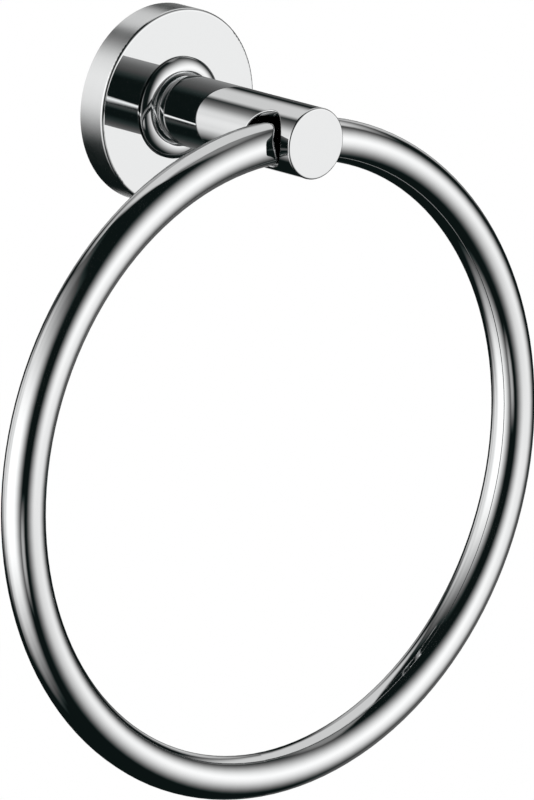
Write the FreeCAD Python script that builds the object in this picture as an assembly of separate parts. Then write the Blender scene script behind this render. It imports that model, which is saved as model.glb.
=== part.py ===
import FreeCAD, Part
import math
import os

from FreeCAD import Vector

# Towel ring for wall mounting. Millimetres, +Z up, the wall is the plane Y = 0.
# The origin is the centre of the flange's back face and the object stands out towards -Y.

# Flange, a turned cup that covers the mounting plate
flange_diameter = 60.0
flange_depth = 10.0
flange_face_thickness = 2.0
flange_rim_thickness = 2.5
flange_edge_radius = 0.9

# Collar, the domed ring between flange and arm
collar_diameter = 31.0
collar_height = 3.8
collar_gap_height = 0.25
collar_gap_depth = 0.6
collar_band_height = 0.35
collar_step_width = 0.15

# Arm, a turned bar with the cross bore that carries the ring
arm_diameter = 21.6
arm_projection = 72.0
arm_edge_radius = 0.6
arm_rear_radius = 0.7
neck_diameter = 19.8
neck_length = 1.2
spigot_diameter = 12.0
spigot_flat_height = 5.0
bore_to_end = 12.0
bore_edge_radius = 0.35

# Towel ring, a bent tube closed on itself
ring_outer_diameter = 207.2
ring_tube_diameter = 13.2
ring_tube_wall = 1.0
ring_bore_clearance = 1.4
ring_seat_gap = 0.3

# Screw and washers that clamp flange, collar and arm from behind
screw_diameter = 6.0
screw_length = 14.0
screw_head_diameter = 10.5
screw_head_height = 3.3
screw_head_edge_height = 0.8
screw_crown_diameter = 8.0
screw_crown_bulge = 0.35
screw_socket_width = 4.0
screw_socket_depth = 2.0
screw_end_chamfer = 0.5
screw_hole_spare_depth = 2.2
flat_washer_diameter = 18.0
flat_washer_thickness = 1.6
lock_washer_diameter = 11.8
lock_washer_thickness = 1.6
lock_washer_gap = 0.8
lock_washer_turn = 20.0
washer_clearance = 0.2

# Mounting plate that is screwed to the wall
plate_thickness = 5.0
plate_clearance = 0.5
plate_hole_diameter = 22.0
wall_screw_inset = 8.5
wall_screw_hole_diameter = 4.6
wall_screw_sink_diameter = 8.8
plate_notch_depth = 3.7

# Set screw that locks the flange on the plate from below
set_screw_diameter = 4.0
set_screw_length = 6.0
set_screw_point_diameter = 1.8
set_screw_socket_width = 2.0
set_screw_socket_depth = 2.2
set_screw_depth = 3.2
pad_width = 9.0
pad_plate_gap = 0.9
pad_wall_gap = 0.6

# Clearances shared by mating pieces
fit_clearance = 0.05
spigot_setback = 0.3

# Places worked out from the sizes above, as distances from the wall
flange_radius = flange_diameter / 2
flange_inner_radius = flange_radius - flange_rim_thickness
flange_inner_face = flange_depth - flange_face_thickness
collar_radius = collar_diameter / 2
collar_top = flange_depth + collar_height
arm_radius = arm_diameter / 2
arm_rear = collar_top + neck_length
spigot_radius = spigot_diameter / 2
spigot_end = flange_inner_face + spigot_setback
ring_tube_radius = ring_tube_diameter / 2
bore_radius = ring_tube_radius + ring_bore_clearance
bore_depth = arm_projection - bore_to_end
screw_radius = screw_diameter / 2
screw_seat = flange_inner_face - flat_washer_thickness - lock_washer_thickness
plate_radius = flange_inner_radius - plate_clearance
plate_notch_floor = plate_radius - plate_notch_depth
wall_screw_spacing = 2 * (plate_radius - wall_screw_inset)
set_screw_radius = set_screw_diameter / 2
pad_reach = plate_notch_floor + pad_plate_gap

# The tube lies low in the bore: it bends down towards the ends of the bore's floor
ring_mean_radius = (ring_outer_diameter - ring_tube_diameter) / 2
bore_floor_half = math.sqrt(arm_radius ** 2 - bore_radius ** 2) - bore_edge_radius
ring_sag = ring_mean_radius - math.sqrt(ring_mean_radius ** 2 - bore_floor_half ** 2)
ring_drop = ring_bore_clearance - ring_sag - ring_seat_gap

# How near two values lie when an edge is looked up
lookup_tolerance = 0.001

OUTWARD = Vector(0, -1, 0)
UP = Vector(0, 0, 1)
DOWN = Vector(0, 0, -1)
SIDEWAYS = Vector(1, 0, 0)


def spot(radius, distance):
    """A point of a turned outline: its radius and its distance from the wall."""
    return Vector(radius, -distance, 0)


def lines(*points):
    """Straight edges from each point to the next."""
    return [Part.makeLine(a, b) for a, b in zip(points, points[1:])]


def turned(edges):
    """A solid of revolution about the Y axis."""
    solid = Part.Face(Part.Wire(edges)).revolve(Vector(0, 0, 0), Vector(0, 1, 0), 360)
    if solid.Volume < 0:
        solid.reverse()
    return solid


def rod(radius, start, end):
    """A cylinder on the Y axis between two distances from the wall."""
    return Part.makeCylinder(radius, end - start, Vector(0, -start, 0), OUTWARD)


def hexagon_prism(width, depth, mouth, direction):
    """A hexagonal socket of a width across flats, cut from its mouth inwards."""
    corner_radius = width / math.sqrt(3)
    side = direction.cross(SIDEWAYS)
    corners = []
    for step in range(7):
        angle = math.radians(60 * step)
        offset = SIDEWAYS * (corner_radius * math.cos(angle)) + side * (corner_radius * math.sin(angle))
        corners.append(mouth + offset)
    return Part.Face(Part.makePolygon(corners)).extrude(direction * depth)


def spigot(clearance, start, end):
    """The spigot, or its hole when it has a clearance. Its flat below keeps the cross bore level."""
    radius = spigot_radius + clearance
    flat_height = spigot_flat_height + clearance
    flat = Part.makeBox(2 * radius, end - start, radius, Vector(-radius, -end, -flat_height - radius))
    return rod(radius, start, end).cut(flat)


def round_edges(solid, radius, chosen):
    """Rounds the edges for which the test holds."""
    return solid.makeFillet(radius, [edge for edge in solid.Edges if chosen(edge)])


def is_circle_at(edge, radius, distance):
    """True for a full circle about the Y axis at a radius and a distance from the wall."""
    curve = edge.Curve
    if not isinstance(curve, Part.Circle):
        return False
    return abs(curve.Radius - radius) < lookup_tolerance and abs(curve.Center.y + distance) < lookup_tolerance


def is_bore_rim(edge):
    """True for the saddle-shaped edges where the cross bore leaves the arm."""
    for step in range(5):
        first, last = edge.ParameterRange
        point = edge.valueAt(first + (last - first) * step / 4)
        off_bore = math.hypot(point.y + bore_depth, point.z) - bore_radius
        off_arm = math.hypot(point.x, point.z) - arm_radius
        if max(abs(off_bore), abs(off_arm)) > lookup_tolerance:
            return False
    return True


def make_flange():
    cup = turned(lines(
        spot(0, flange_inner_face),
        spot(flange_inner_radius, flange_inner_face),
        spot(flange_inner_radius, 0),
        spot(flange_radius, 0),
        spot(flange_radius, flange_depth),
        spot(0, flange_depth),
        spot(0, flange_inner_face),
    ))
    cup = round_edges(cup, flange_edge_radius, lambda edge: is_circle_at(edge, flange_radius, flange_depth))
    pad = Part.makeBox(
        pad_width,
        flange_inner_face - pad_wall_gap,
        flange_inner_radius - pad_reach + flange_rim_thickness / 2,
        Vector(-pad_width / 2, -flange_inner_face, -flange_inner_radius - flange_rim_thickness / 2),
    )
    cup = cup.fuse(pad)
    cup = cup.cut(spigot(fit_clearance, flange_inner_face, flange_depth))
    hole_start = Vector(0, -set_screw_depth, -pad_reach + pad_plate_gap)
    set_screw_hole = Part.makeCylinder(set_screw_radius + fit_clearance, flange_radius, hole_start, DOWN)
    return cup.cut(set_screw_hole).removeSplitter()


def make_collar():
    foot_radius = collar_radius - collar_gap_depth
    band_start = flange_depth + collar_gap_height
    band_end = band_start + collar_band_height
    dome_start = spot(collar_radius - collar_step_width, band_end)
    dome_end = spot(neck_diameter / 2 + fit_clearance, collar_top)
    # The dome's arc lies flat at its inner end, next to the neck
    width = dome_start.x - dome_end.x
    height = dome_start.y - dome_end.y
    dome_radius = (width ** 2 + height ** 2) / (2 * height)
    half_angle = math.asin(width / dome_radius) / 2
    dome_middle = Vector(
        dome_end.x + dome_radius * math.sin(half_angle),
        dome_end.y + dome_radius * (1 - math.cos(half_angle)),
        0,
    )
    edges = lines(
        dome_end,
        spot(0, collar_top),
        spot(0, flange_depth),
        spot(foot_radius, flange_depth),
        spot(foot_radius, band_start),
        spot(collar_radius, band_start),
        spot(collar_radius, band_end),
        dome_start,
    )
    edges.append(Part.Arc(dome_start, dome_middle, dome_end).toShape())
    return turned(edges).cut(spigot(fit_clearance, flange_depth, collar_top))


def make_arm():
    bar = rod(arm_radius, arm_rear, arm_projection)
    bar = round_edges(bar, arm_edge_radius, lambda edge: is_circle_at(edge, arm_radius, arm_projection))
    bar = round_edges(bar, arm_rear_radius, lambda edge: is_circle_at(edge, arm_radius, arm_rear))
    cross_bore = Part.makeCylinder(
        bore_radius, 2 * arm_diameter, Vector(-arm_diameter, -bore_depth, 0), SIDEWAYS
    )
    bar = round_edges(bar.cut(cross_bore), bore_edge_radius, is_bore_rim)
    bar = bar.fuse(rod(neck_diameter / 2, collar_top, arm_rear))
    bar = bar.fuse(spigot(0, spigot_end, collar_top))
    hole_end = screw_seat + screw_length + screw_hole_spare_depth
    return bar.cut(rod(screw_radius + fit_clearance, spigot_end, hole_end)).removeSplitter()


def make_towel_ring():
    centre = Vector(0, -bore_depth, -ring_drop - ring_mean_radius)
    tube = Part.makeTorus(ring_mean_radius, ring_tube_radius, centre, OUTWARD)
    hollow = Part.makeTorus(ring_mean_radius, ring_tube_radius - ring_tube_wall, centre, OUTWARD)
    return tube.cut(hollow)


def make_arm_screw():
    head_top = screw_seat - screw_head_height
    head_radius = screw_head_diameter / 2
    screw_end = screw_seat + screw_length
    crown_start = spot(head_radius, screw_seat - screw_head_edge_height)
    crown_end = spot(screw_crown_diameter / 2, head_top)
    crown_middle = (crown_start + crown_end) / 2 + Vector(screw_crown_bulge, screw_crown_bulge, 0)
    edges = lines(
        crown_end,
        spot(0, head_top),
        spot(0, screw_end),
        spot(screw_radius - screw_end_chamfer, screw_end),
        spot(screw_radius, screw_end - screw_end_chamfer),
        spot(screw_radius, screw_seat),
        spot(head_radius, screw_seat),
        crown_start,
    )
    edges.append(Part.Arc(crown_start, crown_middle, crown_end).toShape())
    socket = hexagon_prism(screw_socket_width, screw_socket_depth, Vector(0, -head_top, 0), OUTWARD)
    return turned(edges).cut(socket)


def make_flat_washer():
    start = flange_inner_face - flat_washer_thickness
    disc = rod(flat_washer_diameter / 2, start, flange_inner_face)
    return disc.cut(rod(screw_radius + washer_clearance, start, flange_inner_face))


def make_lock_washer():
    end = screw_seat + lock_washer_thickness
    disc = rod(lock_washer_diameter / 2, screw_seat, end)
    disc = disc.cut(rod(screw_radius + washer_clearance, screw_seat, end))
    slit = Part.makeBox(
        lock_washer_gap, lock_washer_thickness, lock_washer_diameter, Vector(-lock_washer_gap / 2, -end, 0)
    )
    slit.rotate(Vector(0, -end, 0), Vector(0, 1, 0), lock_washer_turn)
    return disc.cut(slit)


def make_mounting_plate():
    plate = rod(plate_radius, 0, plate_thickness).cut(rod(plate_hole_diameter / 2, 0, plate_thickness))
    notch_width = pad_width + 2 * plate_clearance
    notch = Part.makeBox(
        notch_width,
        plate_thickness,
        plate_notch_depth,
        Vector(-notch_width / 2, -plate_thickness, -plate_radius),
    )
    plate = plate.cut(notch)
    sink_depth = (wall_screw_sink_diameter - wall_screw_hole_diameter) / 2
    for side in (-1, 1):
        x = side * wall_screw_spacing / 2
        hole = Part.makeCylinder(wall_screw_hole_diameter / 2, plate_thickness, Vector(x, 0, 0), OUTWARD)
        sink = Part.makeCone(
            wall_screw_hole_diameter / 2,
            wall_screw_sink_diameter / 2,
            sink_depth,
            Vector(x, -plate_thickness + sink_depth, 0),
            OUTWARD,
        )
        plate = plate.cut(hole).cut(sink)
    return plate


def make_set_screw():
    tip = Vector(0, -set_screw_depth, -plate_notch_floor)
    point_height = set_screw_radius - set_screw_point_diameter / 2
    point = Part.makeCone(set_screw_point_diameter / 2, set_screw_radius, point_height, tip, DOWN)
    body = Part.makeCylinder(
        set_screw_radius, set_screw_length - point_height, tip + DOWN * point_height, DOWN
    )
    socket = hexagon_prism(set_screw_socket_width, set_screw_socket_depth, tip + DOWN * set_screw_length, UP)
    return point.fuse(body).cut(socket)


def main():
    nodes = {
        "flange": make_flange(),
        "collar": make_collar(),
        "arm": make_arm(),
        "towel_ring": make_towel_ring(),
        "arm_screw": make_arm_screw(),
        "flat_washer": make_flat_washer(),
        "lock_washer": make_lock_washer(),
        "mounting_plate": make_mounting_plate(),
        "set_screw": make_set_screw(),
    }
    os.makedirs("parts", exist_ok=True)
    for name, shape in nodes.items():
        solids = shape.Solids
        shape = solids[0] if len(solids) == 1 else Part.makeCompound(solids)
        shape.exportStep("parts/" + name + ".step")
        print(name, len(solids), shape.isValid(), round(shape.Volume, 1))


main()
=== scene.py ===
import math

import bmesh
import bpy
from mathutils import Matrix, Vector


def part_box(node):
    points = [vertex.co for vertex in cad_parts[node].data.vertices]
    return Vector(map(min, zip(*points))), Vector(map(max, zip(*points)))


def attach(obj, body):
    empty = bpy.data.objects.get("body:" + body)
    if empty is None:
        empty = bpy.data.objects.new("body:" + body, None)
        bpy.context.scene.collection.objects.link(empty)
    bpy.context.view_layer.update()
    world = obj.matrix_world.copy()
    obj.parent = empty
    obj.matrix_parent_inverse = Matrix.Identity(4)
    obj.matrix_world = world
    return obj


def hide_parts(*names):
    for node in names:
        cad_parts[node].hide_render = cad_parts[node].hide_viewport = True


# Towel ring on its wall bracket, in polished chrome. Metres, the wall is the plane Y = 0, +Z is up.
# A direction is an azimuth, 0 straight out from the wall and 90 towards +X, and an elevation, in degrees.
# A span is the part of a noise's range that counts, and a pair of values is reached at its two ends.

MM = 0.001
WHITE = (1, 1, 1)
EVEN = (1, 1, 1)

# Camera
camera_aim = Vector((5.43, -50.0, -82.32)) * MM
camera_distance = 3.2
camera_azimuth = -42.05
camera_elevation = 12.45
camera_roll = 2.90
camera_lens = 483.2
camera_sensor = 36.0
camera_reach = 100.0

# Studio: the dark room between its soft boxes, and how much of the light a mirror seen in a mirror keeps
room_brightness = 0.007
room_tint = (0.5, 1.0, 0.96)
tinted_below = 0.06
second_mirror = 0.25
second_bounce = 2.0

# Floor
floor_height = -0.6
floor_half_width = 15.0

# Polished chrome
haze_grain = 9 * MM
haze_span = (0.35, 0.7)
mirror_roughness = (0.012, 0.035)
hair_grain = 0.15 * MM
hair_detail = 2.0
hair_span = (0.6, 0.8)
hair_roughness = 0.02
hair_height = 0.00006 * MM
wave_grain = 14 * MM
wave_detail = 1.0
wave_height = 0.004 * MM
chrome_colors = ((0.93, 0.94, 0.945), (0.96, 0.965, 0.965))
arm_hairs = (1, 0.12, 1)
ring_hairs = (0.3, 1, 0.3)
flange_hairs = (1, 0.2, 1)

# Flange: mirror face, softer rim and satin hollow
flange_color = (0.945, 0.953, 0.955)
soft_span = (0.3, 0.7)
rim_roughness = (0.2, 0.26)
rim_lean = 0.2
satin_color = (0.72, 0.71, 0.68)
satin_roughness = (0.24, 0.4)
satin_line_pitch = 0.35 * MM
satin_line_height = 0.004 * MM

# Turned steel
steel_colors = ((0.56, 0.55, 0.53), (0.68, 0.67, 0.65))
steel_metallic = 0.85
steel_anisotropy = 0.4
steel_grain = 1.5 * MM
steel_line_pitch = 0.22 * MM
steel_line_wobble = 0.1 * MM
steel_line_height = 0.004 * MM
scratch_grain = 0.12 * MM
scratch_stretch = (1, 0.25, 1)
scratch_span = (0.3, 0.75)
scratch_height = 0.003 * MM
steel_roughness = (0.2, 0.42)

# Zinc-plated steel
zinc_colors = ((0.47, 0.49, 0.52), (0.70, 0.71, 0.71))
zinc_metallic = 0.7
crystal_size = 2.6 * MM
crystal_share = 0.35
crystal_height = 0.003 * MM
cloud_grain = 11 * MM
rolling_grain = 0.3 * MM
rolling_stretch = (0.06, 1, 1)
rolling_height = 0.006 * MM
zinc_span = (0.2, 0.75)
zinc_roughness = (0.44, 0.27)

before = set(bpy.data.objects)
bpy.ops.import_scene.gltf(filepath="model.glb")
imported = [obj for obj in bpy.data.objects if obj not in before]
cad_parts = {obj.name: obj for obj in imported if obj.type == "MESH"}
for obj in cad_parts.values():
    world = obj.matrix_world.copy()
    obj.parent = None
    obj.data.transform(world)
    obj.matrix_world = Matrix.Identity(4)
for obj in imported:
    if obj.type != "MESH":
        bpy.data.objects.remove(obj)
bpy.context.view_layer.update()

# The flange's hollow back, which is satin
flange_low, flange_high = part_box("flange")
flange_radius = (flange_high.x - flange_low.x) / 2
flange_rim_thickness = 2.5 * MM
flange_face_thickness = 2.0 * MM
hollow_radius = flange_radius - flange_rim_thickness
hollow_depth = flange_high.y - flange_low.y - flange_face_thickness
edge_margin = 0.05 * MM

# Collar: the bead that the photo shows, in place of the source's plainer dome
collar_low, collar_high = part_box("collar")
collar_radius = (collar_high.x - collar_low.x) / 2
collar_foot = -collar_high.y
collar_top = -collar_low.y
collar_gap_height = 0.25 * MM
collar_gap_depth = 0.6 * MM
collar_hole_radius = 6.1 * MM
neck_radius = 9.9 * MM
collar_band_height = 0.35 * MM
bead_radius = 4.8 * MM
bead_outer_tilt = math.radians(52)
bead_edge_radius = 0.15 * MM
bead_steps = 28
bead_edge_steps = 6
turning_steps = 224
sharp_angle = math.radians(25)


class Tree:
    """A node tree with short calls for the nodes that the materials and the world use."""

    def __init__(self, owner):
        owner.use_nodes = True
        self.nodes = owner.node_tree.nodes
        self.links = owner.node_tree.links
        self.nodes.clear()

    def add(self, kind, **settings):
        node = self.nodes.new(kind)
        for name, value in settings.items():
            setattr(node, name, value)
        return node

    def feed(self, socket, value):
        """Links a socket, or sets a plain value."""
        if isinstance(value, bpy.types.NodeSocket):
            self.links.new(value, socket)
        else:
            socket.default_value = value

    def math(self, operation, *values):
        node = self.add("ShaderNodeMath", operation=operation)
        for socket, value in zip(node.inputs, values):
            self.feed(socket, value)
        return node.outputs[0]

    def ramp(self, value, start, end, low=0.0, high=1.0, smooth=False):
        """Maps start..end to low..high, and stays at the ends outside."""
        node = self.add("ShaderNodeMapRange")
        if smooth:
            node.interpolation_type = "SMOOTHSTEP"
        self.feed(node.inputs["Value"], value)
        node.inputs["From Min"].default_value = start
        node.inputs["From Max"].default_value = end
        node.inputs["To Min"].default_value = low
        node.inputs["To Max"].default_value = high
        return node.outputs["Result"]

    def place(self, scale=EVEN):
        """The point on the object in metres, stretched by a scale for each axis."""
        here = self.add("ShaderNodeTexCoord").outputs["Object"]
        stretch = self.add("ShaderNodeVectorMath", operation="MULTIPLY")
        self.feed(stretch.inputs[0], here)
        stretch.inputs[1].default_value = scale
        return stretch.outputs[0]

    def noise(self, grain, detail=3.0, stretch=EVEN):
        """Noise whose grains are about a size in metres, longer along the axes with a small stretch."""
        node = self.add("ShaderNodeTexNoise")
        self.feed(node.inputs["Vector"], self.place(stretch))
        node.inputs["Scale"].default_value = 1 / grain
        node.inputs["Detail"].default_value = detail
        return node.outputs["Fac"]

    def bump(self, height, distance, normal=None):
        """The normal of a surface that a height moves by up to a distance."""
        node = self.add("ShaderNodeBump")
        self.feed(node.inputs["Height"], height)
        node.inputs["Distance"].default_value = distance
        if normal:
            self.feed(node.inputs["Normal"], normal)
        return node.outputs["Normal"]

    def leaning(self, lean):
        """The surface's own normal, leaning downwards by a value."""
        downwards = self.add("ShaderNodeCombineXYZ")
        self.feed(downwards.inputs["Z"], self.math("MULTIPLY", lean, -1.0))
        summed = self.add("ShaderNodeVectorMath", operation="ADD")
        self.feed(summed.inputs[0], self.add("ShaderNodeNewGeometry").outputs["Normal"])
        self.feed(summed.inputs[1], downwards.outputs[0])
        unit = self.add("ShaderNodeVectorMath", operation="NORMALIZE")
        self.feed(unit.inputs[0], summed.outputs[0])
        return unit.outputs[0]

    def between(self, factor, first, second):
        """A value between two."""
        node = self.add("ShaderNodeMix", data_type="FLOAT")
        self.feed(node.inputs["Factor"], factor)
        self.feed(node.inputs["A"], first)
        self.feed(node.inputs["B"], second)
        return node.outputs["Result"]

    def blend(self, factor, first, second):
        """A colour between two."""
        node = self.add("ShaderNodeMix", data_type="RGBA")
        self.feed(node.inputs["Factor"], factor)
        node.inputs["A"].default_value = (*first, 1)
        node.inputs["B"].default_value = (*second, 1)
        return node.outputs["Result"]

    def metal(self, color, roughness, normal, anisotropy=0.0, metallic=1.0):
        """A metal surface and the material's output."""
        shader = self.add("ShaderNodeBsdfPrincipled")
        shader.inputs["Metallic"].default_value = metallic
        shader.inputs["Anisotropic"].default_value = anisotropy
        self.feed(shader.inputs["Base Color"], color)
        self.feed(shader.inputs["Roughness"], roughness)
        self.feed(shader.inputs["Normal"], normal)
        output = self.add("ShaderNodeOutputMaterial")
        self.feed(output.inputs["Surface"], shader.outputs[0])


def new_material(name):
    material = bpy.data.materials.new(name)
    return material, Tree(material)


def from_axis(tree):
    """The distance of a point from the arm's axis, which is the Y axis, and its place along it."""
    parts = tree.add("ShaderNodeSeparateXYZ")
    tree.feed(parts.inputs[0], tree.place())
    across = tree.math("MULTIPLY", parts.outputs["X"], parts.outputs["X"])
    upward = tree.math("MULTIPLY", parts.outputs["Z"], parts.outputs["Z"])
    return tree.math("SQRT", tree.math("ADD", across, upward)), parts.outputs["Y"]


def turning_lines(tree, radius, pitch):
    """Fine rings round the arm's axis."""
    return tree.math("SINE", tree.math("MULTIPLY", radius, 2 * math.pi / pitch))


def mirror_roughness_of(tree, haze, hairs):
    """Polished chrome is a little rougher in the drifts of haze and along the buffing lines."""
    drifts = tree.ramp(haze, *haze_span, *mirror_roughness)
    lines = tree.ramp(hairs, *hair_span, 0.0, hair_roughness)
    return tree.math("ADD", drifts, lines)


def slow_wave(tree, normal=None):
    """The wave of a buffed face."""
    return tree.bump(tree.noise(wave_grain, wave_detail), wave_height, normal)


def polished_chrome(name, hair_stretch):
    """Mirror chrome: a faint haze in drifts, hair-fine buffing lines and a slow wave."""
    material, tree = new_material(name)
    haze = tree.noise(haze_grain)
    hairs = tree.noise(hair_grain, hair_detail, hair_stretch)
    color = tree.blend(haze, *chrome_colors)
    roughness = mirror_roughness_of(tree, haze, hairs)
    tree.metal(color, roughness, tree.bump(hairs, hair_height, slow_wave(tree)))
    return material


def flange_chrome(name):
    """Mirror chrome on the face, softer on the rim, and satin plating with turning lines in the hollow."""
    material, tree = new_material(name)
    radius, along = from_axis(tree)
    within = tree.ramp(radius, hollow_radius + edge_margin, hollow_radius + 2 * edge_margin, 1.0, 0.0)
    behind = tree.ramp(along, -hollow_depth - 2 * edge_margin, -hollow_depth - edge_margin)
    inside = tree.math("MULTIPLY", within, behind)
    on_rim = tree.ramp(radius, flange_radius - 2 * edge_margin, flange_radius - edge_margin)
    haze = tree.noise(haze_grain)
    hairs = tree.noise(hair_grain, hair_detail, flange_hairs)
    mirror = mirror_roughness_of(tree, haze, hairs)
    satin = tree.ramp(haze, *soft_span, *satin_roughness)
    rim = tree.ramp(haze, *soft_span, *rim_roughness)
    roughness = tree.between(on_rim, tree.between(inside, mirror, satin), rim)
    color = tree.blend(inside, flange_color, satin_color)
    # The rim sees the photo's near studio from higher up than the ring does, so its mirror image is lowered
    wave = slow_wave(tree, tree.leaning(tree.math("MULTIPLY", on_rim, rim_lean)))
    lines = tree.math("MULTIPLY", turning_lines(tree, radius, satin_line_pitch), inside)
    tree.metal(color, roughness, tree.bump(lines, satin_line_height, wave))
    return material


def turned_steel(name):
    """Stainless steel as it comes from the lathe: fine rings round the axis and slightly uneven gloss."""
    material, tree = new_material(name)
    radius = from_axis(tree)[0]
    uneven = tree.noise(steel_grain)
    wobble = tree.math("MULTIPLY", uneven, steel_line_wobble)
    lines = turning_lines(tree, tree.math("ADD", radius, wobble), steel_line_pitch)
    scratches = tree.noise(scratch_grain, stretch=scratch_stretch)
    roughness = tree.ramp(scratches, *scratch_span, *steel_roughness)
    color = tree.blend(uneven, *steel_colors)
    normal = tree.bump(lines, steel_line_height, tree.bump(scratches, scratch_height))
    tree.metal(color, roughness, normal, steel_anisotropy, steel_metallic)
    return material


def zinc_plate(name):
    """Pressed steel with a thin zinc coat: small crystals, rolling lines and a cool, cloudy gloss."""
    material, tree = new_material(name)
    crystals = tree.add("ShaderNodeTexVoronoi")
    tree.feed(crystals.inputs["Vector"], tree.place())
    crystals.inputs["Scale"].default_value = 1 / crystal_size
    split = tree.add("ShaderNodeSeparateColor")
    tree.feed(split.inputs[0], crystals.outputs["Color"])
    crystal = split.outputs[0]
    cloud = tree.noise(cloud_grain)
    mixed = tree.between(crystal_share, cloud, crystal)
    color = tree.blend(mixed, *zinc_colors)
    roughness = tree.ramp(mixed, *zinc_span, *zinc_roughness)
    rolling = tree.bump(tree.noise(rolling_grain, stretch=rolling_stretch), rolling_height)
    tree.metal(color, roughness, tree.bump(crystal, crystal_height, rolling), metallic=zinc_metallic)
    return material


def arc(centre_radius, centre_height, size, start, end, steps):
    """Points of an arc in a turned outline, by the tilt of its surface from the turning axis."""
    tilts = [start + (end - start) * step / steps for step in range(steps + 1)]
    return [(centre_radius + size * math.sin(tilt), centre_height + size * math.cos(tilt)) for tilt in tilts]


def bead_outline():
    """The collar's outline as radius and height: hole, hub, bead down to the small edge, band and gap."""
    reach = bead_radius - bead_edge_radius
    edge_centre = collar_radius - bead_edge_radius
    band_start = collar_foot + collar_gap_height
    band_end = band_start + collar_band_height
    crest_radius = edge_centre - reach * math.sin(bead_outer_tilt)
    bead_centre = band_end - reach * math.cos(bead_outer_tilt)
    inner_tilt = math.asin((neck_radius - crest_radius) / bead_radius)
    bead = arc(crest_radius, bead_centre, bead_radius, inner_tilt, bead_outer_tilt, bead_steps)
    edge = arc(edge_centre, band_end, bead_edge_radius, bead_outer_tilt, math.pi / 2, bead_edge_steps)
    foot_radius = collar_radius - collar_gap_depth
    hub = [(collar_hole_radius, collar_foot), (collar_hole_radius, collar_top), (neck_radius, collar_top)]
    foot = [(collar_radius, band_start), (foot_radius, band_start), (foot_radius, collar_foot)]
    return hub + bead + edge[1:] + foot


def turned_piece(name, outline):
    """Turns a closed outline round the arm's axis."""
    shape = bmesh.new()
    rows = []
    for step in range(turning_steps):
        turn = 2 * math.pi * step / turning_steps
        across, upward = math.cos(turn), math.sin(turn)
        points = [(radius * across, -height, radius * upward) for radius, height in outline]
        rows.append([shape.verts.new(point) for point in points])
    for row, after in zip(rows, rows[1:] + rows[:1]):
        for place in range(len(outline)):
            shape.faces.new((row[place - 1], row[place], after[place], after[place - 1]))
    bmesh.ops.recalc_face_normals(shape, faces=shape.faces)
    mesh = bpy.data.meshes.new(name)
    shape.to_mesh(mesh)
    shape.free()
    mesh.shade_smooth()
    mesh.set_sharp_from_angle(angle=sharp_angle)
    piece = bpy.data.objects.new(name, mesh)
    bpy.context.scene.collection.objects.link(piece)
    return piece


def make_collar(material):
    collar = turned_piece("collar_bead", bead_outline())
    collar.data.materials.append(material)
    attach(collar, "wall_bracket")
    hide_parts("collar")


def dress(node, material):
    """Gives a node its material in every slot."""
    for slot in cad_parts[node].material_slots:
        slot.material = material


def make_materials():
    dress("arm", polished_chrome("arm_chrome", arm_hairs))
    make_collar(polished_chrome("collar_chrome", EVEN))
    dress("towel_ring", polished_chrome("ring_chrome", ring_hairs))
    dress("flange", flange_chrome("flange_chrome"))
    steel = turned_steel("turned_steel")
    for node in ("arm_screw", "flat_washer", "lock_washer", "set_screw"):
        dress(node, steel)
    dress("mounting_plate", zinc_plate("zinc_plate"))


class Studio(Tree):
    """The room that the chrome mirrors, written by direction, so that no card stands in any view's way."""

    def __init__(self, world):
        super().__init__(world)
        parts = self.add("ShaderNodeSeparateXYZ")
        self.feed(parts.inputs[0], self.add("ShaderNodeTexCoord").outputs["Generated"])
        outwards = self.math("MULTIPLY", parts.outputs["Y"], -1.0)
        self.azimuth = self.math("DEGREES", self.math("ARCTAN2", parts.outputs["X"], outwards))
        self.elevation = self.math("DEGREES", self.math("ARCSINE", parts.outputs["Z"]))
        self.brightness = room_brightness

    def soft_box(self, place, half_size, soft_edge, brightness, lean=0.0):
        """A pale area that fades out over a soft edge. Its half sizes are where it is half as bright.

        Each pair is across and up. The lean moves the area's middle aside for each degree up.
        """
        raised = self.math("SUBTRACT", self.elevation, place[1])
        turned = self.math("SUBTRACT", self.azimuth, self.math("MULTIPLY_ADD", raised, lean, place[0]))
        aside = self.math("ABSOLUTE", self.math("WRAP", turned, 180.0, -180.0))
        apart = self.math("ABSOLUTE", raised)
        wide_end, wide_start = half_size[0] + soft_edge[0], half_size[0] - soft_edge[0]
        high_end, high_start = half_size[1] + soft_edge[1], half_size[1] - soft_edge[1]
        wide = self.ramp(aside, wide_end, wide_start, smooth=True)
        high = self.ramp(apart, high_end, high_start, high=brightness, smooth=True)
        self.brightness = self.math("MAXIMUM", self.brightness, self.math("MULTIPLY", wide, high))

    def finish(self):
        """Mirrors see the room, and a second mirror sees it dimmer. All other rays see plain white."""
        rays = self.add("ShaderNodeLightPath")
        off_second = self.math("ABSOLUTE", self.math("SUBTRACT", rays.outputs["Glossy Depth"], second_bounce))
        kept = self.ramp(off_second, 0.0, 1.0, second_mirror, 1.0)
        room = self.math("MAXIMUM", self.math("MULTIPLY", self.brightness, kept), room_brightness)
        mirrored = rays.outputs["Is Glossy Ray"]
        seen = self.math("MULTIPLY", room, mirrored)
        strength = self.math("ADD", seen, self.math("SUBTRACT", 1.0, mirrored))
        color = self.blend(self.ramp(strength, 0.0, tinted_below), room_tint, WHITE)
        background = self.add("ShaderNodeBackground")
        self.feed(background.inputs["Strength"], strength)
        self.feed(background.inputs["Color"], color)
        output = self.add("ShaderNodeOutputWorld")
        self.feed(output.inputs["Surface"], background.outputs[0])


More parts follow.
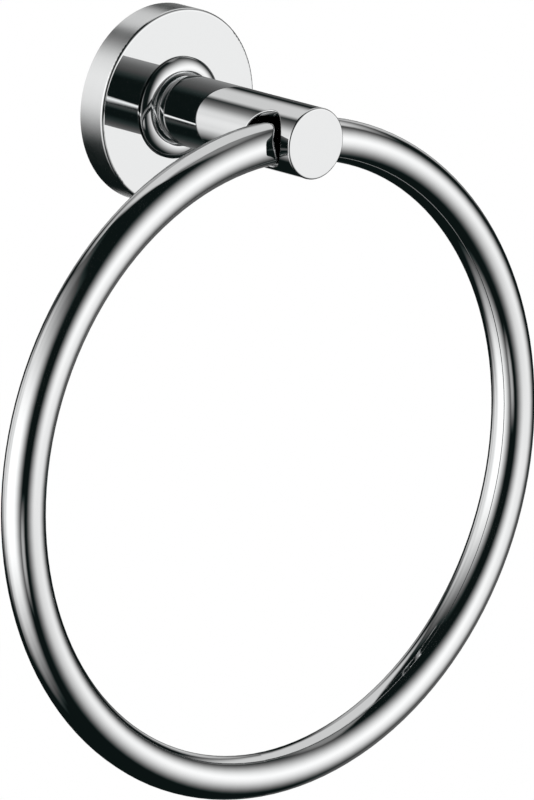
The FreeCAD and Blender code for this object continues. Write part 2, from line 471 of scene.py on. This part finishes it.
def make_studio():
    world = bpy.data.worlds.new("studio")
    bpy.context.scene.world = world
    studio = Studio(world)
    # Large soft box on the left of the camera
    studio.soft_box(place=(-108, -10), half_size=(36, 39), soft_edge=(25, 29), brightness=1.12, lean=-0.1)
    # Large soft box in front, to the right of the camera
    studio.soft_box(place=(33, 3), half_size=(37, 31), soft_edge=(25, 34), brightness=1.03, lean=-0.05)
    # Pale card above and behind the object
    studio.soft_box(place=(140, 57), half_size=(51, 27), soft_edge=(8, 9), brightness=0.62)
    # Grey ceiling in front of that card
    studio.soft_box(place=(66, 72), half_size=(26, 14), soft_edge=(12, 8), brightness=0.22)
    # Paler wall far behind on the left
    studio.soft_box(place=(-143, 0), half_size=(21, 28), soft_edge=(11, 13), brightness=0.74)
    studio.soft_box(place=(-170, -4), half_size=(9, 12), soft_edge=(7, 9), brightness=0.72)
    # Pale card low on the left, in the gap between the two large boxes
    studio.soft_box(place=(-45, -26), half_size=(8, 9), soft_edge=(6, 7), brightness=0.4)
    # Small lit card straight behind the object, which the photo's view mirrors only in the thinnest outlines
    studio.soft_box(place=(136, -14), half_size=(9, 9), soft_edge=(5, 5), brightness=0.8)
    # Grey walls beside the dark strip round that card
    studio.soft_box(place=(158, 17), half_size=(8, 15), soft_edge=(6, 6), brightness=0.42)
    studio.soft_box(place=(124, 13), half_size=(10, 11), soft_edge=(8, 6), brightness=0.5)
    # Dim corner low on the right
    studio.soft_box(place=(108, -28), half_size=(22, 12), soft_edge=(12, 7), brightness=0.11)
    studio.finish()


def make_floor():
    """A plain white floor. The chrome mirrors the dark floor of the studio instead."""
    bpy.ops.mesh.primitive_plane_add(size=2 * floor_half_width, location=(0, 0, floor_height))
    floor = bpy.context.object
    floor.name = "floor"
    material, tree = new_material("floor_white")
    shader = tree.add("ShaderNodeBsdfDiffuse")
    shader.inputs["Color"].default_value = (*WHITE, 1)
    output = tree.add("ShaderNodeOutputMaterial")
    tree.feed(output.inputs["Surface"], shader.outputs[0])
    floor.data.materials.append(material)
    floor.visible_glossy = False


def make_camera():
    azimuth = math.radians(camera_azimuth)
    elevation = math.radians(camera_elevation)
    roll = math.radians(camera_roll)
    back = Vector((
        math.sin(azimuth) * math.cos(elevation),
        -math.cos(azimuth) * math.cos(elevation),
        math.sin(elevation),
    ))
    level_right = Vector((0, 0, 1)).cross(back).normalized()
    level_up = back.cross(level_right)
    right = level_right * math.cos(roll) + level_up * math.sin(roll)
    up = level_up * math.cos(roll) - level_right * math.sin(roll)
    camera_data = bpy.data.cameras.new("camera")
    camera_data.lens = camera_lens
    camera_data.sensor_width = camera_sensor
    camera_data.clip_end = camera_reach
    camera = bpy.data.objects.new("camera", camera_data)
    turn = Matrix((right, up, back)).transposed().to_4x4()
    camera.matrix_world = Matrix.Translation(camera_aim + back * camera_distance) @ turn
    bpy.context.scene.collection.objects.link(camera)
    bpy.context.scene.camera = camera


make_camera()
make_materials()
make_studio()
make_floor()
bpy.context.scene.view_settings.view_transform = "Standard"
